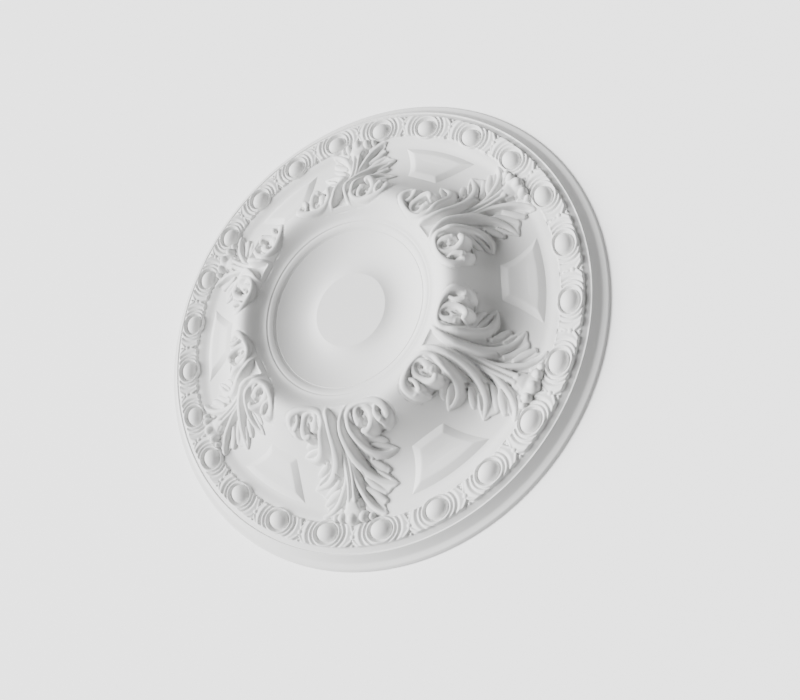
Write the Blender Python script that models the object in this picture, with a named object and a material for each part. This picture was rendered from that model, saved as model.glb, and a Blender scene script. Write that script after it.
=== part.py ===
"""Round ceiling rose, moulded in one piece and primed white.

The rose lies on its flat back with the carved face up: +Z points out of the face, and the origin is the
middle of the back. In use it is turned over and bedded against a ceiling. From the middle outwards it has
a flat disc in a dish, a high round ring, a field that sweeps down from it with six raised panels, an
egg-and-dart band, a channel, a cove and a thin lip. Six acanthus sprays hang over the ring, each with a
sunk notch between two scrolls, and end in a bud on the egg-and-dart band.

The face is worked out for half a spray, from the middle line of a spray to the middle line of a panel,
and is then mirrored and turned round the rose.
"""

import math

import bmesh
import bpy
from mathutils import Matrix, Vector
from mathutils.geometry import delaunay_2d_cdt

# Whole rose
ROSE_RADIUS = 0.350
SPRAYS = 6

# Disc and dish, from the middle outwards
DISC_RADIUS = 0.055
DISC_HEIGHT = 0.0343
DISC_SLOPE_WIDTH = 0.022
TROUGH_HEIGHT = 0.0313
DISH_SWEEP_WIDTH = 0.040
DISH_EDGE_HEIGHT = 0.0434

# Bead and high ring round the dish
DISH_FILLET_WIDTH = 0.0034
RING_BEAD_WIDTH = 0.0084
RING_BEAD_TOP_HEIGHT = 0.0546
RING_FILLET_WIDTH = 0.0035
RING_INNER_WIDTH = 0.0287
RING_OUTER_WIDTH = 0.026
RING_TOP_HEIGHT = 0.0715
RING_SHOULDER_HEIGHT = 0.0534

# Field, and the border of the egg-and-dart band, from the rim inwards
FIELD_LOW_HEIGHT = 0.0075
BAND_BORDER_WIDTH = 0.017
BAND_BORDER_HEIGHT = 0.0122
BAND_WIDTH = 0.0312
BAND_OUTER_HEIGHT = 0.0172
RIM_CHANNEL_WIDTH = 0.0058
RIM_CHANNEL_HEIGHT = 0.0142
RIM_FILLET_WIDTH = 0.0022
RIM_FILLET_HEIGHT = 0.0156
COVE_WIDTH = 0.0110
LIP_WIDTH = 0.0098
LIP_INNER_HEIGHT = 0.0088
EDGE_HEIGHT = 0.0068

# Egg-and-dart band
EGGS_PER_SPRAY = 4
EGG_LENGTH = 0.032
EGG_WIDTH = 0.027
EGG_RISE = 0.0122
EGG_INWARD_SHIFT = 0.0020
HUSK_SPACING = 0.0068
HUSK_SQUEEZE = 0.55
HUSK_RISE = 0.0050
HUSK_HALF_WIDTH = 0.0030
HUSK_FADE_WIDTH = 0.004
DART_LENGTH = 0.013
DART_RISE = 0.0042

# Raised panel in the field
PANEL_INNER_SET = 0.030
PANEL_OUTER_SET = 0.0015
PANEL_INNER_CHORD = 0.0505
PANEL_OUTER_CHORD = 0.122
PANEL_BEVEL = 0.0095
PANEL_RISE = 0.0050
PANEL_SIDE_HOLLOW = 0.0035

# Acanthus spray
SPRAY_START_INSIDE_CROWN = 0.019
BUD_OVERLAP = 0.002
BLADE_RISE_SHARE = 0.55
BLADE_SHOULDER = 0.003
NOTCH_DEPTH = 0.0060
NOTCH_SIDE_WIDTH = 0.002
HOLLOW_DEPTH = 0.0050
HOLLOW_SIDE_WIDTH = 0.003
SLOT_DEPTH = 0.0075
SLOT_HALF_WIDTH = 0.0028
EYE_DEPTH = 0.0040
EYE_RADIUS = 0.0040
KNOB_RISE = 0.0060
KNOB_RADIUS = 0.0045
BUD_RISE = 0.0135
BUD_HALF_WIDTH = 0.0095
BUD_HALF_LENGTH = 0.0105

# Radii that follow from the widths above
trough_radius = DISC_RADIUS + DISC_SLOPE_WIDTH
dish_radius = trough_radius + DISH_SWEEP_WIDTH
ring_bead_start = dish_radius + DISH_FILLET_WIDTH
ring_bead_end = ring_bead_start + RING_BEAD_WIDTH
ring_start = ring_bead_end + RING_FILLET_WIDTH
crown_radius = ring_start + RING_INNER_WIDTH
shoulder_radius = crown_radius + RING_OUTER_WIDTH
lip_radius = ROSE_RADIUS - LIP_WIDTH
cove_radius = lip_radius - COVE_WIDTH
channel_radius = cove_radius - RIM_FILLET_WIDTH
band_outer_radius = channel_radius - RIM_CHANNEL_WIDTH
band_inner_radius = band_outer_radius - BAND_WIDTH
field_low_radius = band_inner_radius - BAND_BORDER_WIDTH

half_sector = math.pi / SPRAYS
egg_radius = (band_inner_radius + band_outer_radius) / 2 - EGG_INWARD_SHIFT
egg_half_pitch = half_sector / EGGS_PER_SPRAY
spray_start = crown_radius - SPRAY_START_INSIDE_CROWN
spray_length = band_inner_radius + BUD_OVERLAP - spray_start


def ease_cosine(share):
    """S-curve from 0 to 1, level at both ends."""
    return (1 - math.cos(math.pi * share)) / 2


def quarter_round(share):
    """Quarter round from 0 to 1, steep at first and level at the end."""
    return math.sin(math.pi / 2 * share) ** 1.2


def shoulder(share):
    """Quarter round from 0 to 1, level at first and steep at the end."""
    return 1 - math.cos(math.pi / 2 * share)


def cove(share):
    """Hollow sweep from 0 to 1, steep at first and level at the end."""
    return 1 - (1 - share) ** 2.5


def straight(share):
    return share


def scoop(share):
    """Hollow sweep from 0 to 1, level at first and steep at the end."""
    return share ** 2


# Each stretch of the turned face: where it ends, how high it ends, its curve, and the rings that it takes
FACE_STRETCHES = (
    (DISC_RADIUS, DISC_HEIGHT, straight, 1),
    (trough_radius, TROUGH_HEIGHT, cove, 2),
    (dish_radius, DISH_EDGE_HEIGHT, scoop, 3),
    (ring_bead_start, DISH_EDGE_HEIGHT, straight, 1),
    (ring_bead_end, RING_BEAD_TOP_HEIGHT, quarter_round, 2),
    (ring_start, RING_BEAD_TOP_HEIGHT, straight, 1),
    (crown_radius, RING_TOP_HEIGHT, quarter_round, 3),
    (shoulder_radius, RING_SHOULDER_HEIGHT, shoulder, 3),
    (field_low_radius, FIELD_LOW_HEIGHT, cove, 5),
    (band_inner_radius, BAND_BORDER_HEIGHT, ease_cosine, 2),
    (band_outer_radius, BAND_OUTER_HEIGHT, straight, 2),
    (channel_radius, RIM_CHANNEL_HEIGHT, straight, 1),
    (cove_radius, RIM_FILLET_HEIGHT, straight, 1),
    (lip_radius, LIP_INNER_HEIGHT, cove, 3),
    (ROSE_RADIUS, EDGE_HEIGHT, straight, 1),
)


def turned_height(radius):
    """Height of the plain turned face at a radius."""
    start_radius = 0.0
    start_height = DISC_HEIGHT
    for end_radius, end_height, curve, _rings in FACE_STRETCHES:
        if radius <= end_radius:
            share = (radius - start_radius) / (end_radius - start_radius)
            return start_height + (end_height - start_height) * curve(share)
        start_radius = end_radius
        start_height = end_height
    return EDGE_HEIGHT


def curve_through(points, steps):
    """A smooth line through points, as steps short pieces between each two; sizes follow along."""
    ends = [points[0]] + list(points) + [points[-1]]
    line = []
    for before, start, end, after in zip(ends, ends[1:], ends[2:], ends[3:]):
        for step in range(steps):
            share = step / steps
            place = []
            for axis in range(len(start)):
                leave = (end[axis] - before[axis]) / 2
                arrive = (after[axis] - start[axis]) / 2
                rest = 3 * (end[axis] - start[axis]) - 2 * leave - arrive
                last = leave + arrive - 2 * (end[axis] - start[axis])
                place.append(start[axis] + leave * share + rest * share ** 2 + last * share ** 3)
            line.append(tuple(place))
    line.append(points[-1])
    return line


def distance_to_line(place, line):
    """How far a place is from a line, and at what share of the line's pieces it is nearest."""
    best = 1.0
    best_share = 0.0
    pieces = len(line) - 1
    for index in range(pieces):
        start_x, start_y, end_x, end_y = *line[index][:2], *line[index + 1][:2]
        run_x, run_y = end_x - start_x, end_y - start_y
        length = run_x * run_x + run_y * run_y
        share = ((place[0] - start_x) * run_x + (place[1] - start_y) * run_y) / max(length, 1e-12)
        share = min(max(share, 0), 1)
        gap = math.hypot(place[0] - start_x - run_x * share, place[1] - start_y - run_y * share)
        if gap < best:
            best = gap
            best_share = (index + share) / pieces
    return best, best_share


def is_inside(place, outline):
    """Whether a place is inside a closed outline."""
    inside = False
    previous = outline[-1]
    for corner in outline:
        if (corner[1] > place[1]) != (previous[1] > place[1]):
            across = previous[0] - corner[0]
            share = (place[1] - corner[1]) / (previous[1] - corner[1])
            if place[0] < corner[0] + across * share:
                inside = not inside
        previous = corner
    return inside


def on_spray(points):
    """Places, and any sizes, from percent of the spray's length: across, along, and the sizes."""
    percent = spray_length / 100
    return [(point[0] * percent, spray_start + point[1] * percent, *[size * percent for size in point[2:]])
            for point in points]


# Half of an acanthus spray, in percent of its length. Each place along a rib's crest gives how far it
# lies across from the spray's middle line, how far out along it, and the rib's half width and rise there.
outer_scroll = on_spray(curve_through((
    (46.2, 39.7, 1.4, 1.0), (34.1, 44.4, 3.2, 5.5), (21.9, 40.6, 3.4, 9.8), (13.6, 25.8, 3.1, 7.6),
    (12.7, 14.6, 2.7, 1.6), (20.5, 4.4, 2.7, 1.7), (34.0, 2.8, 3.0, 2.0), (46.6, 8.8, 3.3, 2.2),
    (50.6, 17.9, 3.1, 5.0), (47.4, 25.8, 2.2, 6.4)), 2))
volute = on_spray(curve_through((
    (28.4, 28.2, 2.6, 11.2), (33.8, 21.2, 2.5, 4.4), (32.8, 11.0, 2.3, 1.0), (25.6, 6.1, 2.1, 1.0),
    (19.4, 12.0, 2.2, 1.4), (20.4, 21.6, 2.4, 4.0)), 2))
stem = on_spray(curve_through((
    (11.7, 1.7, 2.0, 0.2), (8.2, 15.0, 2.5, 1.4), (6.4, 29.0, 3.0, 8.4), (7.2, 42.1, 3.4, 12.2),
    (12.4, 53.5, 3.8, 10.4), (21.9, 62.6, 4.0, 6.3), (34.1, 66.2, 3.0, 2.7), (40.6, 66.8, 1.4, 0.8)), 1))
low_rib = on_spray(curve_through((
    (3.5, 54.7, 2.0, 8.0), (5.6, 66.6, 3.0, 8.4), (9.3, 74.3, 3.0, 8.0), (17.7, 86.2, 3.0, 5.3),
    (30.6, 92.0, 1.4, 0.8)), 1))
middle_rib = on_spray(((0.0, 36.0, 2.0, 4.0), (0.0, 57.0, 3.0, 9.3), (0.0, 72.0, 3.0, 10.9),
                       (0.0, 86.0, 3.0, 9.5)))

RIBS = (outer_scroll, volute, stem, low_rib, middle_rib)

blade_outlines = [on_spray(points) for points in (
    ((13.5, 28.0), (29.0, 30.5), (39.5, 33.0), (37.5, 35.5), (46.2, 39.8), (38.5, 44.5),
     (36.0, 48.2), (29.0, 48.5), (23.0, 49.0), (12.5, 43.0)),
    ((10.5, 42.0), (23.0, 50.2), (35.5, 56.4), (33.5, 60.5), (40.8, 66.8), (35.0, 73.8),
     (26.0, 75.2), (19.5, 69.0), (13.5, 69.5), (6.0, 58.0)),
    ((4.5, 57.0), (14.0, 71.0), (23.5, 76.8), (29.5, 81.0), (26.2, 84.5), (30.6, 92.0),
     (21.0, 92.6), (11.0, 89.5), (0.0, 89.5), (0.0, 57.0)),
)]

notch_outline = on_spray(((0.0, 1.6), (9.1, 1.6), (5.6, 17.5), (2.3, 27.0), (0.0, 33.5)))
scroll_hollow = on_spray(((35.9, 8.6), (43.2, 10.0), (48.0, 16.0), (46.4, 23.6), (38.5, 27.5),
                          (36.6, 20.0)))
volute_slot = on_spray(((25.7, 12.2), (25.0, 21.6)))
scroll_eye = on_spray(((41.6, 12.2),))[0]
scroll_knob = on_spray(((41.0, 19.0),))[0]

bud_places = on_spray(((0.0, 94.5), (11.5, 92.5)))


def rib_rise(place, rib):
    """How far a rib stands out of the turned face at a place, and its own crest's rise there."""
    gap, share = distance_to_line(place, rib)
    spot = share * (len(rib) - 1)
    first = min(int(spot), len(rib) - 2)
    half_width, crest = [rib[first][item] + (rib[first + 1][item] - rib[first][item]) * (spot - first)
                         for item in (2, 3)]
    return crest * (1 - (gap / half_width) ** 2), crest, gap


def spray_rise(place):
    """How far a spray stands out of the turned face at a place."""
    ribs = [rib_rise(place, rib) for rib in RIBS]
    rise = max(0.0, *[own for own, _crest, _gap in ribs])
    _gap, web = min((gap, crest) for _own, crest, gap in ribs)
    for outline in blade_outlines:
        if is_inside(place, outline):
            edge_gap, _share = distance_to_line(place, outline + outline[:1])
            rise = max(rise, BLADE_RISE_SHARE * web * min(1, edge_gap / BLADE_SHOULDER))
    for bud in bud_places:
        gap = math.hypot((place[0] - bud[0]) / BUD_HALF_WIDTH, (place[1] - bud[1]) / BUD_HALF_LENGTH)
        if gap < 1:
            rise = max(rise, BUD_RISE * math.sqrt(1 - gap ** 2))
    if rise > 0:
        return rise
    hollow = 0.0
    if is_inside(place, scroll_hollow):
        side_gap, _share = distance_to_line(place, scroll_hollow + scroll_hollow[:1])
        hollow = HOLLOW_DEPTH * min(1, side_gap / HOLLOW_SIDE_WIDTH)
        hollow += EYE_DEPTH * max(0, 1 - math.dist(place, scroll_eye) / EYE_RADIUS)
        hollow -= KNOB_RISE * max(0, 1 - math.dist(place, scroll_knob) / KNOB_RADIUS)
    slot_gap, _share = distance_to_line(place, volute_slot)
    hollow = max(hollow, SLOT_DEPTH * (1 - slot_gap / SLOT_HALF_WIDTH))
    if is_inside(place, notch_outline):
        back = (place[1] - notch_outline[0][1]) / (notch_outline[-1][1] - notch_outline[0][1])
        side_gap, _share = distance_to_line(place, notch_outline)
        hollow = NOTCH_DEPTH * (1 - back) * min(1, side_gap / NOTCH_SIDE_WIDTH)
    return -hollow


def egg_frame(place):
    """Offsets along and across the egg-and-dart band from the nearest egg's middle."""
    angle = math.atan2(place[0], place[1])
    number = math.floor(angle / (2 * egg_half_pitch))
    own_angle = angle - (2 * number + 1) * egg_half_pitch
    return own_angle * egg_radius, math.hypot(*place) - egg_radius


def husk_half_sizes(number):
    """Half length and half width of the first or second husk round an egg; 1.5 is the groove between."""
    reach = HUSK_SPACING * number
    return EGG_LENGTH / 2 + reach, EGG_WIDTH / 2 + reach * HUSK_SQUEEZE


def band_rise(place):
    """How far the eggs and their husks stand out of the band at a place."""
    radius = math.hypot(*place)
    if radius < band_inner_radius or radius > band_outer_radius:
        return 0.0
    along, across = egg_frame(place)
    egg_share = math.hypot(along / (EGG_LENGTH / 2), across / (EGG_WIDTH / 2))
    if egg_share < 1:
        return EGG_RISE * math.sqrt(1 - egg_share ** 2)
    rise = 0.0
    fade = min(1, (radius - band_inner_radius) / HUSK_FADE_WIDTH)
    for number in (1, 2):
        half_length, half_width = husk_half_sizes(number)
        share = math.hypot(along / half_length, across / half_width)
        husk_gap = abs(share - 1) * math.hypot(along, across) / share
        if husk_gap < HUSK_HALF_WIDTH:
            rise = max(rise, fade * HUSK_RISE * (1 - (husk_gap / HUSK_HALF_WIDTH) ** 2))
    dart_gap = (egg_half_pitch * egg_radius - abs(along)) / (DART_LENGTH / 2)
    dart_reach = abs(across) / (DART_LENGTH / 2)
    if dart_gap + dart_reach < 1:
        rise = max(rise, DART_RISE * (1 - dart_gap - dart_reach))
    return rise


panel_inner = shoulder_radius + PANEL_INNER_SET
panel_outer_radius = field_low_radius - PANEL_OUTER_SET
panel_outer = math.sqrt(panel_outer_radius ** 2 - (PANEL_OUTER_CHORD / 2) ** 2)


def panel_half_width(along):
    """Half width of a panel at a distance along its middle line; the sides are hollow."""
    share = (along - panel_inner) / (panel_outer - panel_inner)
    straight_side = PANEL_INNER_CHORD / 2 + (PANEL_OUTER_CHORD - PANEL_INNER_CHORD) / 2 * share
    return straight_side - PANEL_SIDE_HOLLOW * 4 * share * (1 - share)


def panel_to_place(along, aside):
    """A place from distances along and to the side of a panel's middle line."""
    sine, cosine = math.sin(half_sector), math.cos(half_sector)
    return along * sine - aside * cosine, along * cosine + aside * sine


def panel_rise(place):
    """How far a panel stands out of the field at a place."""
    sine, cosine = math.sin(half_sector), math.cos(half_sector)
    along = place[0] * sine + place[1] * cosine
    aside = abs(place[1] * sine - place[0] * cosine)
    if along < panel_inner or math.hypot(*place) > panel_outer_radius:
        return 0.0
    slant = (panel_half_width(along + 0.001) - panel_half_width(along)) / 0.001
    side_gap = (panel_half_width(along) - aside) / math.hypot(1, slant)
    edge_gap = min(along - panel_inner, panel_outer_radius - math.hypot(*place), side_gap)
    return PANEL_RISE * min(1, max(0, edge_gap / PANEL_BEVEL))


def panel_line(inset):
    """Half of a panel's outline, a bevel's inset further in, from its inner to its outer middle."""
    inner = panel_inner + inset
    outer_radius = panel_outer_radius - inset
    side_inset = inset * math.hypot(1, (PANEL_OUTER_CHORD - PANEL_INNER_CHORD) / 2
                                    / (panel_outer - panel_inner))
    outer = panel_outer
    for _ in range(20):
        outer = math.sqrt(outer_radius ** 2 - (panel_half_width(outer) - side_inset) ** 2)
    side = [(inner + (outer - inner) * step / 4) for step in range(5)]
    line = [panel_to_place(inner, 0)]
    line += [panel_to_place(along, panel_half_width(along) - side_inset) for along in side]
    corner_angle = math.atan2(panel_half_width(outer) - side_inset, outer)
    for step in (2, 1, 0):
        angle = corner_angle * step / 3
        line.append(panel_to_place(outer_radius * math.cos(angle), outer_radius * math.sin(angle)))
    return line


def face_height(place):
    """Height of the carved face at a place of the half spray."""
    radius = math.hypot(*place)
    rises = (spray_rise(place), band_rise(place), panel_rise(place))
    rise = max(rises)
    if rise <= 0:
        rise = min(rises)
    return turned_height(radius) + rise


def polar(radius, angle):
    """A place from its radius and its angle from the spray's middle line."""
    return radius * math.sin(angle), radius * math.cos(angle)


def ellipse_line(middle_radius, middle_angle, half_length, half_width, start, end, steps):
    """Part of an ellipse bent along the band; its angles start from straight outwards."""
    line = []
    for step in range(steps + 1):
        turn = start + (end - start) * step / steps
        angle = middle_angle + half_length * math.sin(turn) / middle_radius
        line.append(polar(middle_radius + half_width * math.cos(turn), angle))
    return line


# The finest spacing between points of the face, and how far plain rings stay from carved lines
POINT_SPACING = 0.0008
RING_CLEARANCE = 0.0062


def parts_within_band(line):
    """The parts of a line that lie between the two edges of the egg-and-dart band."""
    parts = [[]]
    for place in line:
        if band_inner_radius + POINT_SPACING < math.hypot(*place) < band_outer_radius - POINT_SPACING:
            parts[-1].append(place)
        elif parts[-1]:
            parts.append([])
    return [part for part in parts if part]


def egg_lines():
    """The lines that carry the eggs and husks of half a spray's stretch of the band."""
    lines = []
    for number in range(EGGS_PER_SPRAY // 2):
        angle = (2 * number + 1) * egg_half_pitch
        lines.append([polar(egg_radius, angle)])
        for size, steps in ((0.68, 6), (1.0, 10)):
            lines.append(ellipse_line(egg_radius, angle, EGG_LENGTH / 2 * size, EGG_WIDTH / 2 * size,
                                      0, 2 * math.pi, steps))
        for husk in (1, 1.5, 2):
            half_length, half_width = husk_half_sizes(husk)
            line = ellipse_line(egg_radius, angle, half_length, half_width, -math.pi, math.pi, 12)
            lines += parts_within_band(line)
    return lines


def rib_foot(line, side):
    """The line where a rib's side meets the ground, through every second place of its crest."""
    foot = []
    for index in range(0, len(line), 2):
        before = line[max(index - 1, 0)]
        after = line[min(index + 1, len(line) - 1)]
        run = math.dist(before[:2], after[:2])
        width = side * line[index][2]
        foot.append((line[index][0] + (after[1] - before[1]) / run * width,
                     line[index][1] - (after[0] - before[0]) / run * width))
    return foot


def shrunk(outline, share):
    """A closed outline drawn in towards its middle by a share."""
    middle = [sum(corner[axis] for corner in outline) / len(outline) for axis in (0, 1)]
    line = [tuple(corner[axis] + (middle[axis] - corner[axis]) * share for axis in (0, 1))
            for corner in outline]
    return line + line[:1]


def spray_lines():
    """The lines that carry half a spray: crests and feet of the ribs, blades, notch, eyes and buds."""
    lines = []
    for rib in RIBS:
        lines.append([point[:2] for point in rib])
        if rib in (outer_scroll, volute):
            lines += [rib_foot(rib, side) for side in (-1, 1)]
    for outline in blade_outlines:
        lines += [outline + outline[:1], shrunk(outline, 0.3)]
    lines += [scroll_hollow + scroll_hollow[:1], shrunk(scroll_hollow, 0.45)]
    lines += [volute_slot, [scroll_eye], notch_outline]
    lines.append([(max(x - NOTCH_SIDE_WIDTH, 0), y + NOTCH_SIDE_WIDTH) for x, y in notch_outline[:-1]])
    for place in bud_places:
        lines.append([place])
        for size, steps in ((0.65, 4), (1.0, 8)):
            lines.append([(place[0] + BUD_HALF_WIDTH * size * math.cos(turn),
                           place[1] + BUD_HALF_LENGTH * size * math.sin(turn))
                          for turn in [math.tau * step / steps for step in range(steps + 1)]])
    return lines


def face_points():
    """All points and lines of half a spray's face, for the triangles between them."""
    places = []
    edges = []

    def add(line):
        """Add a line, or only its point where it has one."""
        first = len(places)
        places.extend(line)
        edges.extend((index, index + 1) for index in range(first, len(places) - 1))

    carved = spray_lines() + egg_lines() + [panel_line(0), panel_line(PANEL_BEVEL)]
    for line in carved:
        add(line)
    add([(0, 0), (0, ROSE_RADIUS)])
    add([(0, 0), polar(ROSE_RADIUS, half_sector)])
    start_radius = 0.0
    for end_radius, _height, _curve, rings in FACE_STRETCHES:
        plain = end_radius <= spray_start or end_radius > band_inner_radius + BAND_WIDTH / 2
        steps = 5 if end_radius > band_outer_radius else 4
        for ring in range(1, rings + 1):
            radius = start_radius + (end_radius - start_radius) * ring / rings
            line = [polar(radius, half_sector * step / steps) for step in range(steps + 1)]
            if plain and radius >= band_outer_radius or end_radius <= spray_start:
                add(line)
                continue
            for place in line:
                near = [distance_to_line(place, other)[0] if len(other) > 1 else math.dist(place, other[0])
                        for other in carved]
                if min(near) > RING_CLEARANCE:
                    add([place])
        start_radius = end_radius
    return places, edges


def snap_to_sector(place):
    """Put a place that is nearly on a middle line exactly on it, and say on which: 3 is on both."""
    x, y = place
    if math.hypot(x, y) < 2 * POINT_SPACING:
        return (0.0, 0.0), 3
    if abs(x) < 2 * POINT_SPACING:
        return (0.0, y), 1
    radius = math.hypot(x, y)
    if abs(math.atan2(x, y) - half_sector) * radius < 2 * POINT_SPACING:
        return polar(radius, half_sector), 2
    return (x, y), 0


def face_of_half_spray():
    """Points and triangles of the carved face, from a spray's middle line to a panel's."""
    places, edges = face_points()
    flat = [Vector(place) for place in places]
    points, _edges, triangles, *_origins = delaunay_2d_cdt(flat, edges, [], 0, POINT_SPACING)
    points, sides = zip(*[snap_to_sector(point) for point in points])
    kept = []
    for triangle in triangles:
        x = sum(points[corner][0] for corner in triangle) / 3
        y = sum(points[corner][1] for corner in triangle) / 3
        within = 0 <= math.atan2(x, y) <= half_sector and math.hypot(x, y) < ROSE_RADIUS
        along_side = any(all(sides[corner] in (side, 3) for corner in triangle) for side in (1, 2))
        if within and not along_side:
            kept.append(triangle)
    return [(x, y, face_height((x, y))) for x, y in points], kept


def build_rose():
    """The whole rose: the half spray's face mirrored and turned, the edge, and the flat back."""
    points, triangles = face_of_half_spray()
    mesh = bmesh.new()
    for spray in range(SPRAYS):
        turn = Matrix.Rotation(math.pi + 2 * half_sector * spray, 3, "Z")
        for side in (1, -1):
            corners = {}
            for triangle in triangles:
                for index in triangle:
                    if index not in corners:
                        x, y, height = points[index]
                        corners[index] = mesh.verts.new(turn @ Vector((side * x, y, height)))
                face = [corners[index] for index in triangle]
                if side < 0:
                    face.reverse()
                mesh.faces.new(face)
    bmesh.ops.remove_doubles(mesh, verts=mesh.verts, dist=5e-6)
    edge = [link for link in mesh.edges if link.is_boundary]
    wall = bmesh.ops.extrude_edge_only(mesh, edges=edge)["geom"]
    for corner in [item for item in wall if isinstance(item, bmesh.types.BMVert)]:
        corner.co.z = 0
    back = [item for item in wall if isinstance(item, bmesh.types.BMEdge)]
    bmesh.ops.contextual_create(mesh, geom=back)
    bmesh.ops.recalc_face_normals(mesh, faces=mesh.faces)
    data = bpy.data.meshes.new("ceiling_rose")
    mesh.to_mesh(data)
    mesh.free()
    data.shade_smooth()
    data.set_sharp_from_angle(angle=math.radians(24))
    return data


def primed_white():
    """White matt primer on moulded foam."""
    material = bpy.data.materials.new("primed_white")
    material.use_nodes = True
    shader = material.node_tree.nodes["Principled BSDF"]
    shader.inputs["Base Color"].default_value = (0.80, 0.80, 0.79, 1)
    shader.inputs["Roughness"].default_value = 0.7
    shader.inputs["Metallic"].default_value = 0.0
    return material


for item in list(bpy.data.objects):
    bpy.data.objects.remove(item)

rose = bpy.data.objects.new("ceiling_rose", build_rose())
rose.data.materials.append(primed_white())
bpy.context.scene.collection.objects.link(rose)
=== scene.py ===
"""Ceiling rose: the finished face of a round moulding, 700 mm across, lying on its back.

The real rose is one casting. Here its face is made in four kinds of piece that sit in each other like
carving on a block: the turned body, six raised panels, the egg-and-dart band and six acanthus sprays.
Heights in the carving are upright, in millimetres over the turned face; places are in percent of the
rose's radius, across and out along the middle line of a spray.
"""

import math

import bpy
import numpy as np
from mathutils import Matrix, Vector


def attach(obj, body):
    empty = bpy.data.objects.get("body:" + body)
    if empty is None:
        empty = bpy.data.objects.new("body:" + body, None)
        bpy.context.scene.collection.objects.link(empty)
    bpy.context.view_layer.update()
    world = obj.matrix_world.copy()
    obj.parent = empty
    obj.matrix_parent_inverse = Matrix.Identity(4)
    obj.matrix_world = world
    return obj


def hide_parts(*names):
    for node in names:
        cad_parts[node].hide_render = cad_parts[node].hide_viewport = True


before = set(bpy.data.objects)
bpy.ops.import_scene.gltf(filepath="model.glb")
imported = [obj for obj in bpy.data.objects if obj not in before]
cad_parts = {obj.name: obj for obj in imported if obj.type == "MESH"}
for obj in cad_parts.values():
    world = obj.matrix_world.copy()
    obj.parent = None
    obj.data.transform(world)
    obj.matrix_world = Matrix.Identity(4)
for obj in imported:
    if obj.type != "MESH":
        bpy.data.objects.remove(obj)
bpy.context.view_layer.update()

ROSE_RADIUS = 0.350
PERCENT = ROSE_RADIUS / 100
MM = 0.001


def linear(colour):
    """An sRGB hex colour as linear values."""
    values = [int(colour[place:place + 2], 16) / 255 for place in (1, 3, 5)]
    return [value / 12.92 if value <= 0.04045 else ((value + 0.055) / 1.055) ** 2.4 for value in values]


def add_node(tree, kind, settings=None, links=None):
    """A new node with its own settings and socket values; a link's value is the socket that feeds it."""
    node = tree.nodes.new(kind)
    for name, value in (settings or {}).items():
        if isinstance(name, str) and hasattr(node, name):
            setattr(node, name, value)
        else:
            node.inputs[name].default_value = value
    for name, socket in (links or {}).items():
        tree.links.new(socket, node.inputs[name])
    return node


def smooth_step(value):
    """0 below 0, 1 above 1, and an S-curve between."""
    value = np.clip(value, 0, 1)
    return value * value * (3 - 2 * value)


def smooth_line(points, steps):
    """A smooth line through points of any number of values, in steps short pieces between each two."""
    points = np.array(points, dtype=float)
    ends = np.vstack([points[:1], points, points[-1:]])
    line = []
    for before, start, end, after in zip(ends, ends[1:], ends[2:], ends[3:]):
        share = np.arange(steps)[:, None] / steps
        leave = (end - before) / 2
        arrive = (after - start) / 2
        rest = 3 * (end - start) - 2 * leave - arrive
        last = leave + arrive - 2 * (end - start)
        line.append(start + leave * share + rest * share ** 2 + last * share ** 3)
    return np.vstack(line + [points[-1:]])


def nearest(x, y, line):
    """Distance from each place to a line, and the line's other values at the nearest point."""
    best = np.full(x.shape, 1e9)
    values = np.zeros(x.shape + (line.shape[1] - 2,))
    for start, end in zip(line, line[1:]):
        run = end[:2] - start[:2]
        share = ((x - start[0]) * run[0] + (y - start[1]) * run[1]) / max(run @ run, 1e-12)
        share = np.clip(share, 0, 1)
        gap = np.hypot(x - start[0] - run[0] * share, y - start[1] - run[1] * share)
        closer = gap < best
        best = np.where(closer, gap, best)
        values[closer] = (start[2:] + (end[2:] - start[2:]) * share[..., None])[closer]
    return best, values


def depth_inside(x, y, outline):
    """How deep each place lies inside a closed outline; below 0 outside it."""
    outline = np.array(outline, dtype=float)
    loop = np.vstack([outline, outline[:1]])
    gap, _values = nearest(x, y, loop)
    inside = np.zeros(x.shape, dtype=bool)
    for start, end in zip(loop, loop[1:]):
        crosses = (start[1] > y) != (end[1] > y)
        slope = (end[0] - start[0]) / ((end[1] - start[1]) or 1e-12)
        inside ^= crosses & (x < start[0] + slope * (y - start[1]))
    return np.where(inside, gap, -gap)


def softer_max(first, second, blend):
    """The larger of two heights, with a small fillet where they meet."""
    meet = np.clip(blend - np.abs(first - second), 0, None) / blend
    return np.maximum(first, second) + meet * meet * blend / 4


def solid_under(name, x, y, z, bottom, wraps=False):
    """A closed solid: a grid of points on top, walls down from its edge and a flat bottom."""
    rows, columns = x.shape
    top = np.stack([x, y, z], axis=-1).reshape(-1, 3)
    number = np.arange(rows * columns).reshape(rows, columns)
    if wraps:
        number = np.hstack([number, number[:, :1]])
        edge = number[-1, :-1]
    else:
        edge = np.concatenate([number[0, :-1], number[:-1, -1], number[-1, :0:-1], number[:0:-1, 0]])
    quads = np.stack([number[:-1, :-1], number[:-1, 1:], number[1:, 1:], number[1:, :-1]], axis=-1)
    quads = quads.reshape(-1, 4)
    low = top[edge] * (1, 1, 0) + (0, 0, bottom)
    low_number = rows * columns + np.arange(len(edge))
    walls = np.stack([edge, low_number, np.roll(low_number, -1), np.roll(edge, -1)], axis=-1)
    faces = quads.tolist() + walls.tolist() + [low_number[::-1].tolist()]
    if wraps:
        faces += [number[0, :-1][::-1].tolist()]
    mesh = bpy.data.meshes.new(name)
    mesh.from_pydata(np.vstack([top, low]).tolist(), [], faces)
    return mesh


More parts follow.
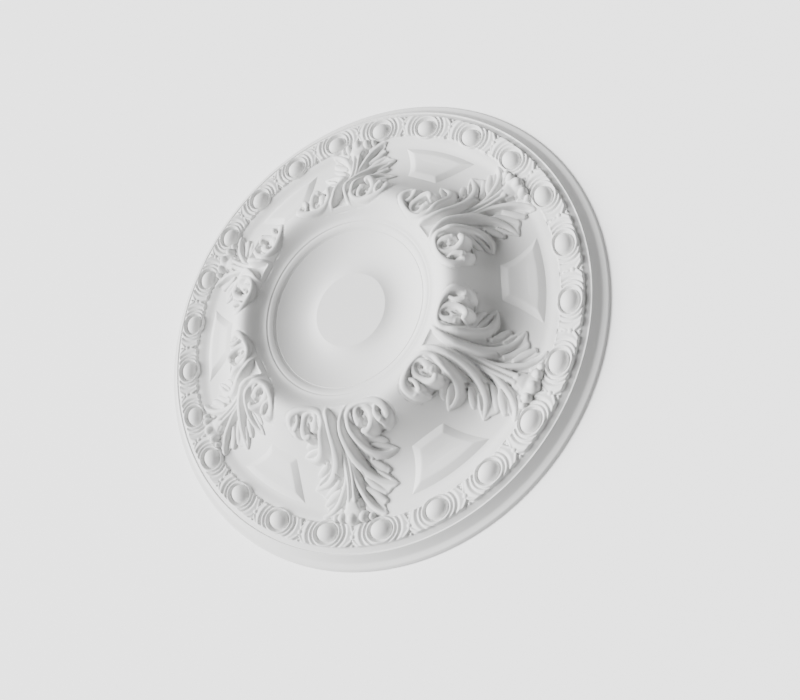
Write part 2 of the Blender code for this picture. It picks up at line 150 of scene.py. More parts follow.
def finished(mesh, sharp_angle):
    """Turn a mesh's faces outwards, and shade it smooth but for its sharp edges."""
    import bmesh
    shape = bmesh.new()
    shape.from_mesh(mesh)
    bmesh.ops.recalc_face_normals(shape, faces=shape.faces)
    shape.to_mesh(mesh)
    shape.free()
    mesh.shade_smooth()
    mesh.set_sharp_from_angle(angle=math.radians(sharp_angle))


# Primed white: the white matt primer that moulded foam is sold in. It is sprayed, so it has a very fine
# orange peel, broad soft changes in sheen, and a trace of shade where the primer is thin.
white = bpy.data.materials.new("white_primer_on_moulded_foam")
white.use_nodes = True
tree = white.node_tree
shader = tree.nodes["Principled BSDF"]
place = add_node(tree, "ShaderNodeTexCoord").outputs["Object"]
peel = add_node(tree, "ShaderNodeTexNoise", {"Scale": 1 / 0.0022, "Detail": 3.0}, {"Vector": place})
cloud = add_node(tree, "ShaderNodeTexNoise", {"Scale": 1 / 0.060, "Detail": 4.0}, {"Vector": place})
tone = add_node(tree, "ShaderNodeMix", {"data_type": "RGBA"}, {"Factor": cloud.outputs["Fac"]})
tone.inputs["A"].default_value = (*linear("#E1E1E0"), 1)
tone.inputs["B"].default_value = (*linear("#DDDDDC"), 1)
sheen = add_node(tree, "ShaderNodeMapRange", {"To Min": 0.62, "To Max": 0.80},
                 {"Value": cloud.outputs["Fac"]})
grain = add_node(tree, "ShaderNodeBump", {"Strength": 0.25, "Distance": 0.00012},
                 {"Height": peel.outputs["Fac"]})
tree.links.new(tone.outputs["Result"], shader.inputs["Base Color"])
tree.links.new(sheen.outputs["Result"], shader.inputs["Roughness"])
tree.links.new(grain.outputs["Normal"], shader.inputs["Normal"])
shader.inputs["Specular IOR Level"].default_value = 0.35


def placed(name, mesh):
    """A finished piece of the rose in primed white."""
    piece = bpy.data.objects.new(name, mesh)
    if not mesh.materials:
        mesh.materials.append(white)
    bpy.context.scene.collection.objects.link(piece)
    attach(piece, "root")
    return piece


# Body: the turned face, from the flat disc in its dish over the high ring and down the swept field to the
# rim bead, cove and lip. It is cast as a plain turned shape. Under the carving it is sunk out of the way.
FACE_STRETCHES = (
    # where it ends, how high it ends there, its curve (a power, a quarter round "q" or "s", an ease "e" or "r"), rings
    (0.0545, 0.0343, 1.0, 3),
    (0.0550, 0.0343, 1.0, 1),
    (0.0555, 0.0341, 1.0, 1),
    (0.0740, 0.0301, -2.0, 10),
    (0.1164, 0.0453, 1.9, 14),
    (0.1170, 0.0448, 1.0, 1),
    (0.1176, 0.0458, 1.0, 1),
    (0.1188, 0.0461, 1.0, 1),
    (0.1196, 0.0474, 1.0, 1),
    (0.1268, 0.0512, -1.6, 8),
    (0.1282, 0.0511, 1.0, 1),
    (0.1292, 0.0523, 1.0, 2),
    (0.1312, 0.0528, 1.0, 2),
    (0.1610, 0.0715, "r", 16),
    (0.1870, 0.0534, "s", 14),
    (0.2730, 0.0075, -2.5, 34),
    (0.2900, 0.0122, "e", 6),
)
BAND_INNER = 0.2900
BAND_OUTER = 0.3268
RIM_STRETCHES = (
    (0.3282, 0.0138, 1.0, 2),
    (0.3289, 0.0152, "q", 3),
    (0.3295, 0.0153, "e", 2),
    (0.3301, 0.0147, "s", 2),
    (0.3402, 0.0050, -1.2, 10),
    (0.3456, 0.0038, 1.0, 3),
    (0.3500, 0.0002, "s", 6),
)


def eased(kind, share):
    """A stretch's curve from 0 to 1."""
    if kind == "q":
        return np.sin(math.pi / 2 * share) ** 1.2
    if kind == "s":
        return 1 - np.cos(math.pi / 2 * share)
    if kind == "e":
        return (1 - np.cos(math.pi * share)) / 2
    if kind == "r":
        return (1 - np.cos(math.pi * share ** 0.85)) / 2
    return 1 - (1 - share) ** -kind if kind < 0 else share ** kind


def turned_height(radius):
    """Height of the turned face at each radius, up to the egg-and-dart band."""
    height = np.full(np.shape(radius), FACE_STRETCHES[-1][1])
    start_radius, start_height = 0.0, 0.0343
    for end_radius, end_height, kind, _rings in FACE_STRETCHES:
        share = np.clip((radius - start_radius) / (end_radius - start_radius), 0, 1)
        own = start_height + (end_height - start_height) * eased(kind, share)
        height = np.where((radius >= start_radius) & (radius <= end_radius), own, height)
        start_radius, start_height = end_radius, end_height
    return height


# Where the scrolls and the notch of a spray bring their own face
SPRAY_COVER = smooth_line(((0, 40.5), (6, 40.5), (12, 40.0), (18, 40.9), (22, 43.0), (23.6, 46.0),
                           (22.9, 49.4), (20, 51.8), (15, 53.4), (9, 54.5), (4, 56.8), (0, 57.5)), 4)


def cover_depth(x, y):
    """How deep a place lies inside the nearest spray's cover, in mm; x and y are in metres."""
    angle = np.arctan2(x, -y)
    angle -= np.round(angle / (math.pi / 3)) * (math.pi / 3)
    radius = np.hypot(x, y)
    loop = np.vstack([SPRAY_COVER, SPRAY_COVER[::-1] * (-1, 1)])
    return depth_inside(radius * np.sin(angle) / PERCENT, radius * np.cos(angle) / PERCENT, loop) * 3.5


radii, heights = [0.0], [0.0343]
for stretches, drop in ((FACE_STRETCHES, 0), (((BAND_INNER + 0.0004, 0.006, 1.0, 1),
                                               (BAND_OUTER - 0.0004, 0.006, 1.0, 3)), 0),
                        (((BAND_OUTER, 0.0143, 1.0, 1),) + RIM_STRETCHES, 0)):
    for end_radius, end_height, kind, rings in stretches:
        start_radius, start_height = radii[-1], heights[-1]
        for ring in range(1, rings + 1):
            share = ring / rings
            radii.append(start_radius + (end_radius - start_radius) * share)
            heights.append(float(start_height + (end_height - start_height) * eased(kind, share)))
radii[0] = 0.0005
turn, radius = np.meshgrid(np.arange(600) * math.tau / 600, radii)
body_x, body_y = radius * np.cos(turn), radius * np.sin(turn)
sink = 0.020 * smooth_step((cover_depth(body_x, body_y) - 1.6) / 4.0)
body_z = np.array(heights)[:, None] - sink
body_mesh = solid_under("turned_body", body_x, body_y, body_z, 0.0, wraps=True)
finished(body_mesh, 60)
body = placed("turned_body", body_mesh)
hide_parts("ceiling_rose")


def instances_on_circle(name, unit, number, step_angle, first_angle):
    """A piece with a unit repeated round the rose: a Geometry Nodes tree turns and joins the copies."""
    tree = bpy.data.node_groups.new(name, "GeometryNodeTree")
    for label, kind in (("Geometry", "NodeSocketGeometry"), ("Copies", "NodeSocketInt"),
                        ("Step angle", "NodeSocketFloat"), ("First angle", "NodeSocketFloat")):
        tree.interface.new_socket(label, in_out="INPUT", socket_type=kind)
    tree.interface.new_socket("Geometry", in_out="OUTPUT", socket_type="NodeSocketGeometry")
    entry = add_node(tree, "NodeGroupInput")
    index = add_node(tree, "GeometryNodeInputIndex")
    angle = add_node(tree, "ShaderNodeMath", {"operation": "MULTIPLY_ADD"},
                     {0: index.outputs[0], 1: entry.outputs["Step angle"], 2: entry.outputs["First angle"]})
    turned = add_node(tree, "ShaderNodeCombineXYZ", {}, {"Z": angle.outputs[0]})
    points = add_node(tree, "GeometryNodePoints", {}, {"Count": entry.outputs["Copies"]})
    copies = add_node(tree, "GeometryNodeInstanceOnPoints", {},
                      {"Points": points.outputs[0], "Instance": entry.outputs["Geometry"],
                       "Rotation": turned.outputs[0]})
    real = add_node(tree, "GeometryNodeRealizeInstances", {}, {"Geometry": copies.outputs[0]})
    painted = add_node(tree, "GeometryNodeSetMaterial", {"Material": white}, {"Geometry": real.outputs[0]})
    add_node(tree, "NodeGroupOutput", {}, {"Geometry": painted.outputs[0]})

    maker = bpy.data.objects.new(name + "_unit", unit)
    bpy.context.scene.collection.objects.link(maker)
    modifier = maker.modifiers.new(name, "NODES")
    modifier.node_group = tree
    values = {"Copies": number, "Step angle": step_angle, "First angle": first_angle}
    for item in tree.interface.items_tree:
        if item.in_out == "INPUT" and item.name in values:
            modifier[item.identifier] = values[item.name]
    evaluated = maker.evaluated_get(bpy.context.evaluated_depsgraph_get())
    mesh = bpy.data.meshes.new_from_object(evaluated)
    mesh.name = name
    bpy.data.objects.remove(maker)
    return placed(name, mesh)


# Panels: six flat raised fields with bevelled edges between the sprays, hollow at the sides. Each follows
# the sweep of the field. One is made as a closed slab, and a node tree repeats it round the rose.
PANEL_INNER = 0.2170
PANEL_OUTER = 0.2715
PANEL_INNER_HALF = 0.02525
PANEL_OUTER_HALF = 0.0610
PANEL_SIDE_HOLLOW = 0.0035
PANEL_BEVEL = 0.0095
PANEL_RISE = 0.0050
corner_along = math.sqrt(PANEL_OUTER ** 2 - PANEL_OUTER_HALF ** 2)


def panel_half_width(along):
    """Half width of a panel at a distance along its middle line."""
    share = (along - PANEL_INNER) / (corner_along - PANEL_INNER)
    return (PANEL_INNER_HALF + (PANEL_OUTER_HALF - PANEL_INNER_HALF) * share
            - PANEL_SIDE_HOLLOW * 4 * share * (1 - share))


def panel_ring(inset, count_side, count_end):
    """Half of a panel's outline, drawn in by an inset, from its inner to its outer middle."""
    slope = math.hypot(1, (PANEL_OUTER_HALF - PANEL_INNER_HALF) / (corner_along - PANEL_INNER))
    inner, outer_radius = PANEL_INNER + inset, PANEL_OUTER - inset
    outer = corner_along
    for _ in range(20):
        outer = math.sqrt(outer_radius ** 2 - (panel_half_width(outer) - inset * slope) ** 2)
    line = [(inner, (panel_half_width(inner) - inset * slope) * step / count_end)
            for step in range(count_end)]
    line += [(along, panel_half_width(along) - inset * slope)
             for along in np.linspace(inner, outer, count_side)]
    corner = math.atan2(panel_half_width(outer) - inset * slope, outer)
    line += [(outer_radius * math.cos(corner * step / count_end),
              outer_radius * math.sin(corner * step / count_end))
             for step in range(count_end - 1, -1, -1)]
    return line


panel_points, panel_faces = [], []
loops = ((0.0, -0.0020), (0.0001, 0.0), (0.0006, 0.00035), (PANEL_BEVEL - 0.0006, PANEL_RISE - 0.0003),
         (PANEL_BEVEL + 0.0003, PANEL_RISE), (PANEL_BEVEL + 0.003, PANEL_RISE),
         (PANEL_BEVEL + 0.007, PANEL_RISE), (PANEL_BEVEL + 0.012, PANEL_RISE))
for inset, rise in loops:
    half = panel_ring(inset, 24, 12)
    ring = half + [(along, -aside) for along, aside in half[-2:0:-1]]
    first = len(panel_points)
    for along, aside in ring:
        height = float(turned_height(np.array(math.hypot(along, aside)))) + rise
        panel_points.append((along, aside, height))
    if first:
        count = len(ring)
        panel_faces += [(first - count + index, first - count + (index + 1) % count,
                         first + (index + 1) % count, first + index) for index in range(count)]
count = len(ring)
middle_first = len(panel_points) - count
# The plateau inside the last loop: rows across it from side to side
half_count = len(half)
for index in range(half_count - 2):
    left, right = middle_first + index + 1, middle_first + (count - index - 1) % count
    next_left, next_right = middle_first + index + 2, middle_first + (count - index - 2) % count
    if index == 0:
        panel_faces.append((middle_first, left, right))
    if index < half_count - 3:
        panel_faces.append((left, next_left, next_right, right))
    else:
        panel_faces.append((left, next_left, right))
low_first = len(panel_points)
panel_points += [(x, y, 0.004) for x, y, _z in panel_points[:count]]
panel_faces += [(index, (index + 1) % count, low_first + (index + 1) % count, low_first + index)
                for index in range(count)]
panel_faces.append(tuple(range(low_first, low_first + count)))
panel_mesh = bpy.data.meshes.new("panel")
panel_mesh.from_pydata(panel_points, [], panel_faces)
finished(panel_mesh, 40)
instances_on_circle("raised_panels", panel_mesh, 6, math.pi / 3, -math.pi / 3)

# Egg-and-dart band: 24 eggs, each in a socket with three husks that arch over it and meet the next egg's
# in a knot. One egg's width is carved as a closed piece, and a node tree repeats it round the rose.
EGG_MIDDLE = 86.6
EGG_HALF = (4.55, 3.7)
EGG_RISE = 13.6
HALF_PITCH = math.radians(7.5)
# The husks' height in mm against the distance from the egg's middle, in percent of the radius sideways
HUSK_PROFILE = ((4.3, -1.6), (4.75, 0.2), (5.1, 3.0), (5.5, 4.6), (5.95, 3.9), (6.3, 1.6), (6.6, 2.4),
                (7.05, 4.4), (7.55, 3.6), (7.95, 1.4), (8.35, 2.2), (9.1, 4.2), (10.0, 3.4), (11.4, 2.2), (14.0, 2.2))
HUSK_SQUASH = 0.83
ARCH = ((5.0, 93.4), (7.4, 92.1), (9.4, 90.7), (10.9, 89.4), (11.7, 88.9), (11.7, 86.9), (10.9, 85.8),
        (10.2, 84.4), (9.7, 83.0), (9.4, 81.0))


def rounded_ridge(x, y, points, fall=0.45, steps=5, wall=2.6):
    """Height of a rounded rib through points (across, along, height, half width): steep outside it."""
    gap, values = nearest(x, y, smooth_line(points, steps))
    gap = gap * 3.5
    height, width = values[..., 0], np.maximum(values[..., 1], 0.3)
    round_off = 1 - np.sqrt(np.clip(1 - (gap / width) ** 2, 0, 1))
    return height - (fall * width + 0.6) * round_off - np.clip(gap - width, 0, None) * wall


def band_rise(across, along):
    """Height over the band's floor of one egg's width; across and along are in percent of the radius."""
    side = np.abs(across)
    profile = smooth_line(HUSK_PROFILE, 6)
    rise = np.interp(np.hypot(side, (along - EGG_MIDDLE) / HUSK_SQUASH), profile[:, 0], profile[:, 1])
    # Each husk ends in an arched edge; between the arches the ground is sunk, with small beads in it
    outline = ((-1.0, 94.0), (5.0, 94.0)) + ARCH + ((-1.0, 81.0),)
    inside = depth_inside(side, along, outline) * 3.5
    ground = np.where(along > 87.7, 0.2, -0.6)
    rise = ground + (rise - ground) * smooth_step((inside + 0.5) / 1.2)
    rise = softer_max(rise, rounded_ridge(side, along, [(x, y, 3.9, 1.7) for x, y in ARCH[:4]], 0.5), 0.6)
    rise = softer_max(rise, rounded_ridge(side, along, [(x, y, 3.4, 1.7) for x, y in ARCH[5:9]], 0.5), 0.6)
    edge = 100 * HALF_PITCH * EGG_MIDDLE / 100
    for bead, size, height in (((edge, 91.2), 1.9, 2.6), ((edge, 88.0), 3.4, 4.6), ((edge, 84.4), 2.0, 1.8)):
        gap = np.hypot(side - bead[0], along - bead[1]) * 3.5
        rise = softer_max(rise, np.where(gap < size, height - size * (1 - np.sqrt(
            np.clip(1 - (gap / size) ** 2, 0, 1))), -9), 0.4)
    # Outside the husks a channel runs round under the rim; towards the field only the egg's own ring stays
    rise += 0.75 * np.clip(along - 84.0, 0, 8)
    channel = smooth_step((along - 91.2) / 0.7)
    rise = rise * (1 - channel) + (5.6 - 1.55 * (along - 91.2)) * channel
    edge_along = 82.75 - 1.15 * np.exp(-(side / 3.6) ** 4)
    rise = rise * smooth_step((along - edge_along) / 0.7)
    share = np.hypot(side / EGG_HALF[0], (along - EGG_MIDDLE) / EGG_HALF[1])
    dome = EGG_RISE * np.sqrt(np.clip(1 - share ** 2, 0, 1)) ** 0.95 - 1.6
    return np.where(share < 1, np.maximum(rise, dome), rise)


rows, columns = 78, 84
band_turn, band_radius = np.meshgrid(np.linspace(-HALF_PITCH, HALF_PITCH, columns),
                                     np.linspace(0.2845, BAND_OUTER, rows))
rise = band_rise(band_turn * EGG_MIDDLE, band_radius / PERCENT)
hidden = np.clip(1 - rise / 0.3, 0, 1) * (band_radius < BAND_INNER + 0.0006)
band_z = turned_height(np.minimum(band_radius, BAND_INNER)) + MM * (rise - 0.9 * hidden)
band_mesh = solid_under("egg", band_radius * np.cos(band_turn), band_radius * np.sin(band_turn), band_z,
                        0.004)
finished(band_mesh, 50)
for half, name in enumerate(("egg_and_dart_near", "egg_and_dart_far")):
    instances_on_circle(name, band_mesh.copy(), 12, 2 * HALF_PITCH, math.pi * (half - 1) + HALF_PITCH)

# Acanthus sprays: six leaves that hang over the high ring, each with two scrolls round a sunk notch,
# three lobes a side and a row of buds on the egg-and-dart band. Moulded with the body.
# Each rib: across and out along the spray in percent of the radius, height and half width in mm.
STEM = ((4.6, 41.6, 0.2, 1.8), (3.7, 44.5, 1.8, 2.4), (3.0, 47.0, 2.6, 2.8), (2.5, 50.0, 7.4, 3.2),
        (2.3, 53.0, 13.0, 3.5), (2.5, 55.8, 17.0, 3.8), (3.0, 58.6, 18.6, 4.2), (3.9, 61.2, 17.8, 4.6),
        (5.4, 63.5, 15.4, 4.6), (7.3, 65.6, 12.6, 4.4), (9.6, 67.3, 9.6, 4.0), (12.0, 68.4, 7.0, 3.6),
        (14.6, 69.1, 5.0, 3.0), (16.4, 69.4, 3.8, 2.2), (17.6, 69.5, 2.4, 1.2))
SCROLL_RIB = ((19.8, 57.8, 2.4, 1.4), (17.4, 58.9, 5.0, 2.4), (14.6, 59.5, 8.4, 3.0), (11.8, 59.1, 12.2, 3.3),
              (9.4, 57.6, 15.2, 3.4), (7.4, 54.8, 16.4, 3.4), (6.1, 51.8, 11.8, 3.4), (5.4, 48.6, 3.4, 3.2),
              (5.6, 46.2, 1.6, 3.2), (6.9, 43.9, 2.2, 3.3), (9.8, 42.3, 3.0, 3.6), (13.3, 41.9, 3.4, 3.9),
              (17.0, 42.6, 2.6, 4.3), (19.5, 44.1, 2.8, 4.8), (20.6, 46.0, 3.8, 4.6), (20.8, 47.8, 5.4, 4.2),
              (20.0, 49.4, 7.0, 3.6), (18.9, 50.6, 8.4, 2.8))
# The scrolls stand level, so these have their heights over the back
VOLUTE = ((11.6, 52.5, 67.2, 3.8), (12.8, 52.7, 67.2, 3.9), (13.8, 51.7, 66.8, 4.1), (14.4, 49.8, 66.4, 4.3),
          (14.5, 47.5, 66.8, 4.3), (13.9, 45.3, 68.4, 4.0), (12.7, 43.8, 69.9, 3.6), (10.8, 43.1, 70.6, 3.2),
          (9.0, 43.9, 70.6, 3.2), (8.4, 45.9, 70.2, 3.6), (8.9, 48.0, 69.0, 4.6), (9.3, 49.6, 67.0, 4.2))
TONGUE = ((9.8, 48.6, 67.8, 4.2), (10.3, 49.9, 65.4, 3.0))
SECOND_CURL = ((16.4, 44.2, 70.4, 2.4), (16.3, 46.2, 70.0, 2.8), (17.0, 47.9, 69.0, 3.6),
               (18.0, 49.0, 67.6, 4.0))
SCROLL_SHELF = ((20.0, 44.8, 67.0, 6.0), (19.8, 47.4, 64.0, 6.0))
LOW_RIB = ((1.5, 61.5, 10.5, 2.0), (1.7, 66.2, 12.5, 2.8), (2.6, 69.1, 13.0, 3.2), (4.2, 72.4, 12.5, 3.4),
           (6.0, 75.4, 10.8, 3.4), (8.2, 77.6, 8.6, 3.2), (10.8, 79.2, 5.6, 2.8), (13.2, 80.0, 3.0, 1.4))
MIDDLE_RIB = ((0.95, 58.0, 9.0, 1.6), (0.95, 63.0, 12.6, 2.0), (0.95, 68.0, 14.8, 2.2), (1.0, 72.0, 15.6, 2.4),
              (1.2, 75.0, 15.4, 3.0))
CUP = ((0.0, 75.5, 14.6, 6.0), (0.0, 77.5, 13.6, 9.0), (0.0, 78.8, 12.0, 12.0))
FINGERS = (
    ((11.4, 54.9, 5.0, 2.4), (13.6, 54.7, 4.8, 3.0), (15.8, 55.0, 3.8, 2.8), (17.0, 55.3, 2.4, 1.8)),
    ((11.2, 56.6, 6.4, 2.6), (13.4, 56.7, 5.8, 3.0), (16.4, 57.1, 4.6, 2.8), (19.2, 57.8, 2.4, 1.8)),
    ((9.7, 61.6, 7.2, 2.8), (11.1, 62.6, 6.8, 4.0), (13.1, 63.7, 6.0, 4.2), (14.6, 64.5, 4.2, 3.4)),
    ((10.6, 65.2, 6.2, 2.2), (12.6, 66.3, 6.0, 2.6), (14.8, 67.6, 4.8, 2.6), (16.8, 68.9, 2.8, 1.8)),
    ((5.8, 67.4, 7.6, 2.6), (7.6, 69.2, 6.8, 3.6), (9.8, 70.9, 5.6, 4.0), (12.4, 72.4, 3.6, 3.2)),
    ((5.9, 71.0, 8.0, 2.8), (7.7, 72.1, 7.4, 4.0), (10.2, 73.8, 6.2, 4.4), (12.3, 75.4, 4.2, 3.6)),
    ((5.4, 77.8, 6.6, 2.6), (7.6, 79.1, 5.0, 3.0), (9.8, 79.8, 3.2, 2.4)),
)
CHANNELS = (
    ((3.9, 50.0, 1.6, 1.4), (4.0, 52.5, 3.0, 2.0), (4.4, 55.5, 3.4, 2.2), (5.3, 58.4, 2.8, 1.8),
     (6.7, 60.9, 2.4, 1.4)),
    ((6.7, 60.9, 2.4, 1.4), (8.4, 63.6, 2.4, 1.4), (11.5, 66.4, 2.0, 1.4), (14.4, 67.9, 1.6, 1.2)),
    ((11.6, 57.5, 2.0, 1.4), (15.5, 58.2, 1.8, 1.4), (17.6, 58.1, 1.2, 1.0)),
    ((3.4, 68.4, 2.0, 1.2), (4.7, 71.2, 2.4, 1.4), (6.9, 74.0, 2.4, 1.6), (10.0, 77.0, 2.0, 1.6),
     (12.1, 78.3, 1.4, 1.2)),
    ((0.0, 60.0, 1.6, 1.4), (0.0, 68.0, 2.4, 1.8), (0.0, 74.5, 2.0, 1.6)),
    ((2.1, 61.0, 1.6, 1.2), (2.5, 66.0, 3.0, 1.4), (2.4, 71.0, 3.6, 1.8)),
)
# Hollows: across, along, depth in mm, and their half widths across and along in mm
HOLES = ((2.5, 73.2, 7.0, 2.0, 4.4), (3.5, 77.2, 3.0, 1.6, 2.2), (5.6, 65.6, 3.0, 1.6, 2.6),
         (8.6, 60.0, 2.4, 2.2, 2.6), (10.4, 60.9, 2.4, 1.6, 2.0), (10.7, 45.8, 7.0, 2.9, 3.7), (12.0, 48.8, 4.0, 1.8, 7.0),
         (17.7, 45.8, 6.0, 2.6, 2.8), (7.0, 79.7, 4.0, 2.2, 1.6))
LOBES = (
    ((7.5, 52.0), (10.0, 53.0), (13.0, 53.2), (16.2, 53.7), (17.6, 54.9), (16.4, 55.6), (18.0, 56.3),
     (20.2, 57.6), (18.6, 59.0), (17.3, 60.1), (15.2, 61.0), (12.6, 61.3), (11.6, 61.7), (8.0, 62.5),
     (4.5, 58.0), (4.5, 53.0)),
    ((6.0, 58.5), (9.6, 60.6), (12.0, 61.9), (14.6, 63.1), (15.9, 64.7), (14.8, 65.9), (15.6, 67.0),
     (17.9, 69.3), (17.0, 70.6), (15.2, 71.5), (13.9, 72.9), (12.2, 73.5), (10.6, 73.0), (8.9, 71.6),
     (7.3, 71.0), (4.5, 68.0), (3.2, 62.0)),
    ((1.5, 62.0), (3.4, 66.5), (6.6, 70.0), (9.2, 71.7), (12.1, 73.8), (13.4, 75.7), (12.2, 76.9),
     (12.7, 78.2), (13.8, 80.1), (12.2, 80.9), (10.2, 80.6), (8.6, 80.6), (7.4, 79.4), (6.2, 79.9),
     (4.5, 79.6), (0.0, 79.6), (-1.0, 70.0), (-1.0, 62.0)),
)
LOBE_RIBS = (SCROLL_RIB[:7], STEM[5:], LOW_RIB)
NOTCH = ((-6.0, 41.2), (3.9, 41.2), (3.4, 43.5), (2.4, 48.0), (1.1, 52.0), (0.3, 55.2), (-0.3, 55.2))
NOTCH_FLOOR = ((41.2, 43.3, 48.0, 52.0, 55.2), (69.3, 63.5, 60.5, 54.5, 47.5))
SCROLL_FLOOR = ((6.9, 45.2), (8.2, 43.0), (11.0, 42.5), (15.6, 42.8), (18.8, 44.2), (20.2, 46.0), (20.4, 48.4),
                (19.6, 51.0), (17.0, 52.6), (13.6, 53.4), (10.8, 53.4), (8.6, 52.4), (7.4, 49.4))
FLOOR_HEIGHT = ((42.0, 46.0, 50.0, 53.0), (68.6, 65.0, 61.5, 54.0))
BUDS = ((0.0, 81.1, 14.6, 8.4, 9.8), (4.4, 80.7, 13.0, 7.2, 8.2), (7.5, 80.7, 8.6, 5.0, 5.8))


def spray_rise(x, y):
    """Height of half a spray over the turned face in mm; x and y are in percent of the radius."""
    face = turned_height(np.hypot(x, y) * PERCENT) / MM
    floor = np.interp(y, *NOTCH_FLOOR) - face
    rise = np.minimum(floor, 0) * smooth_step(depth_inside(x, y, NOTCH) * 3.5 / 1.2)
    inside = depth_inside(x, y, smooth_line(SCROLL_FLOOR + SCROLL_FLOOR[:1], 3)) * 3.5
    rise += np.minimum(np.interp(y, *FLOOR_HEIGHT) - face, -3.0) * smooth_step(inside / 2.2)
    # The flesh of the leaf: three lobes, thick by their ribs and thinner at their edges
    for outline, rib in zip(LOBES, LOBE_RIBS):
        depth = depth_inside(x, y, smooth_line(outline + outline[:1], 4)) * 3.5
        gap, values = nearest(x, y, smooth_line(rib, 4))
        thick = 2.8 + np.clip(0.50 * values[..., 0] - 2.8, 0, None) * np.exp(-(gap * 3.5 / 8.0) ** 2)
        edge = np.sqrt(np.clip(1 - (1 - np.clip(depth / 2.6, 0, 1)) ** 2, 0, 1))
        rise = softer_max(rise, np.where(depth > 0, thick * edge, -99), 0.4)
    middle = (((0.0, 54.0, 1.0, 5.0), (0.0, 57.0, 5.0, 7.0), (0.0, 60.0, 9.0, 8.0), (0.0, 66.0, 12.4, 8.0),
               (0.0, 72.0, 13.6, 8.0), (0.0, 76.0, 13.0, 11.0), (0.0, 79.0, 11.0, 16.0)))
    rise = softer_max(rise, rounded_ridge(x, y, middle, 0.3), 1.0)
    for line in FINGERS:
        rise = softer_max(rise, rounded_ridge(x, y, line, 0.4), 0.8)
    for points in CHANNELS:
        gap, values = nearest(x, y, smooth_line(points, 4))
        rise -= values[..., 0] * np.clip(1 - (gap * 3.5 / (values[..., 1] + 0.6)) ** 2, 0, None)
    for line, fall in ((STEM, 0.5), (SCROLL_RIB, 0.5), (LOW_RIB, 0.55), (MIDDLE_RIB, 0.6), (CUP, 0.25)):
        rise = softer_max(rise, rounded_ridge(x, y, line, fall), 0.5)
    for line, fall in ((SCROLL_SHELF, 0.2), (VOLUTE, 0.5), (TONGUE, 0.5), (SECOND_CURL, 0.5)):
        rise = softer_max(rise, rounded_ridge(x, y, line, fall, wall=7.0) - face, 0.5)
    for across, along, deep, half_wide, half_long in HOLES:
        share = np.hypot((x - across) * 3.5 / half_wide, (y - along) * 3.5 / half_long)
        rise -= deep * np.clip(1 - share ** 4, 0, None)
    for across, along, high, half_wide, half_long in BUDS:
        share = np.hypot((x - across) * 3.5 / half_wide, (y - along) * 3.5 / half_long)
        dome = high * np.clip(1 - share ** 2, 0, None) ** 0.42
        rise = np.where(share < 1, np.maximum(rise, dome), rise)
    return rise


reach = smooth_line(((39.6, 21.0), (44.0, 25.2), (49.0, 25.0), (54.0, 22.4), (58.0, 22.0), (64.0, 19.6),
                     (70.0, 19.6), (76.0, 16.4), (85.0, 15.0)), 6)
rows, columns = 190, 200
spray_y = np.linspace(39.6, 85.0, rows)
half_reach = np.interp(spray_y, reach[:, 0], reach[:, 1])
share = np.linspace(-1, 1, columns)
spray_x = share[None, :] * half_reach[:, None]
spray_y = np.repeat(spray_y[:, None], columns, axis=1)
rise = spray_rise(np.abs(spray_x), spray_y)
metres_x, metres_y = spray_x * PERCENT, -spray_y * PERCENT
own_face = smooth_step(cover_depth(metres_x, metres_y) / 1.0)
hidden = np.clip(1 - np.maximum(rise, 0) / 0.3, 0, 1) * (1 - own_face)
spray_z = turned_height(np.hypot(metres_x, metres_y)) + MM * (rise - 1.6 * hidden)
for number in range(6):
    angle = number * math.pi / 3
    turned_x = metres_x * math.cos(angle) - metres_y * math.sin(angle)
    turned_y = metres_x * math.sin(angle) + metres_y * math.cos(angle)
    spray_mesh = solid_under(f"acanthus_spray_{number + 1}", turned_x, turned_y, spray_z, 0.004)
    finished(spray_mesh, 60)
    placed(spray_mesh.name, spray_mesh)

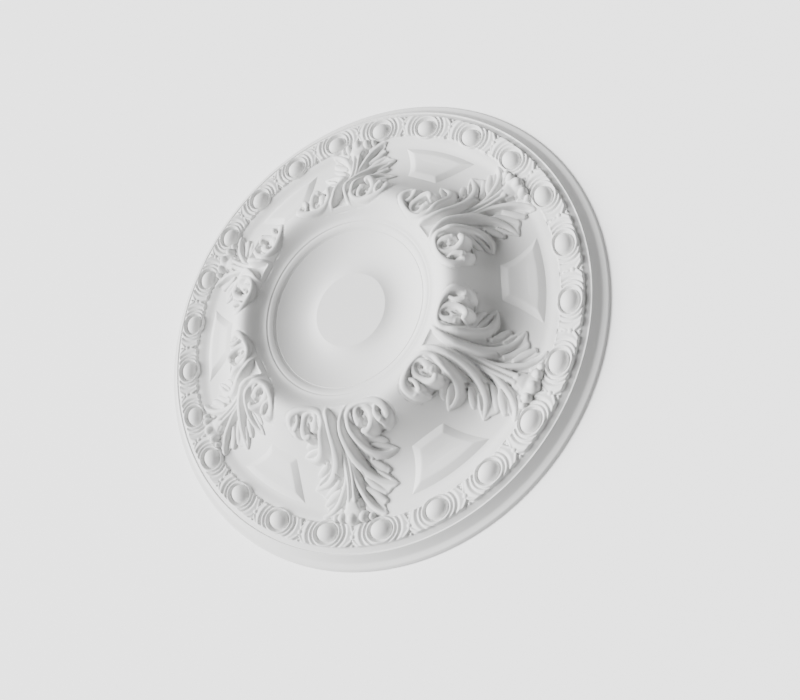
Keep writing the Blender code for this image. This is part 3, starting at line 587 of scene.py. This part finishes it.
# Floor: a plain pale surface under the rose, which isn't part of it
floor_mesh = bpy.data.meshes.new("floor")
floor_mesh.from_pydata([(-6, -6, -0.0005), (6, -6, -0.0005), (6, 6, -0.0005), (-6, 6, -0.0005)], [],
                       [(0, 1, 2, 3)])
floor = bpy.data.objects.new("floor", floor_mesh)
bpy.context.scene.collection.objects.link(floor)
paper = bpy.data.materials.new("white_paper_backdrop")
paper.use_nodes = True
paper.node_tree.nodes["Principled BSDF"].inputs["Base Color"].default_value = (*linear("#FAFAFA"), 1)
paper.node_tree.nodes["Principled BSDF"].inputs["Roughness"].default_value = 0.9
paper.node_tree.nodes["Principled BSDF"].inputs["Emission Color"].default_value = (1, 1, 1, 1)
paper.node_tree.nodes["Principled BSDF"].inputs["Emission Strength"].default_value = 0.5
floor_mesh.materials.append(paper)

# Light: one broad soft light from the photo's side, and an even pale sky
world = bpy.data.worlds.new("pale_sky")
world.use_nodes = True
world.node_tree.nodes["Background"].inputs["Color"].default_value = (1, 1, 1, 1)
world.node_tree.nodes["Background"].inputs["Strength"].default_value = 0.11
bpy.context.scene.world = world
KEY_AZIMUTH = math.radians(118)
KEY_ELEVATION = math.radians(38)
key = bpy.data.lights.new("key", "SUN")
key.energy = 12.0
key.angle = math.radians(40)
key_lamp = bpy.data.objects.new("key", key)
direction = Vector((math.cos(KEY_AZIMUTH) * math.cos(KEY_ELEVATION),
                    math.sin(KEY_AZIMUTH) * math.cos(KEY_ELEVATION), math.sin(KEY_ELEVATION)))
key_lamp.location = direction * 2
key_lamp.rotation_euler = direction.to_track_quat("Z", "Y").to_euler()
bpy.context.scene.collection.objects.link(key_lamp)

# Camera: the photo's view, from above and one side, and rolled
CAMERA_PLACE = Vector((-0.111666, -0.581807, 0.809294))
CAMERA_RIGHT = Vector((0.442695, -0.784339, -0.434550))
CAMERA_UP = Vector((0.891638, 0.333777, 0.305901))
camera_data = bpy.data.cameras.new("camera")
camera_data.lens = 31.1857
camera_data.sensor_width = 36.0
camera = bpy.data.objects.new("camera", camera_data)
axes = Matrix((CAMERA_RIGHT, CAMERA_UP, CAMERA_RIGHT.cross(CAMERA_UP))).transposed()
camera.matrix_world = Matrix.Translation(CAMERA_PLACE) @ axes.to_4x4()
bpy.context.scene.collection.objects.link(camera)
bpy.context.scene.camera = camera
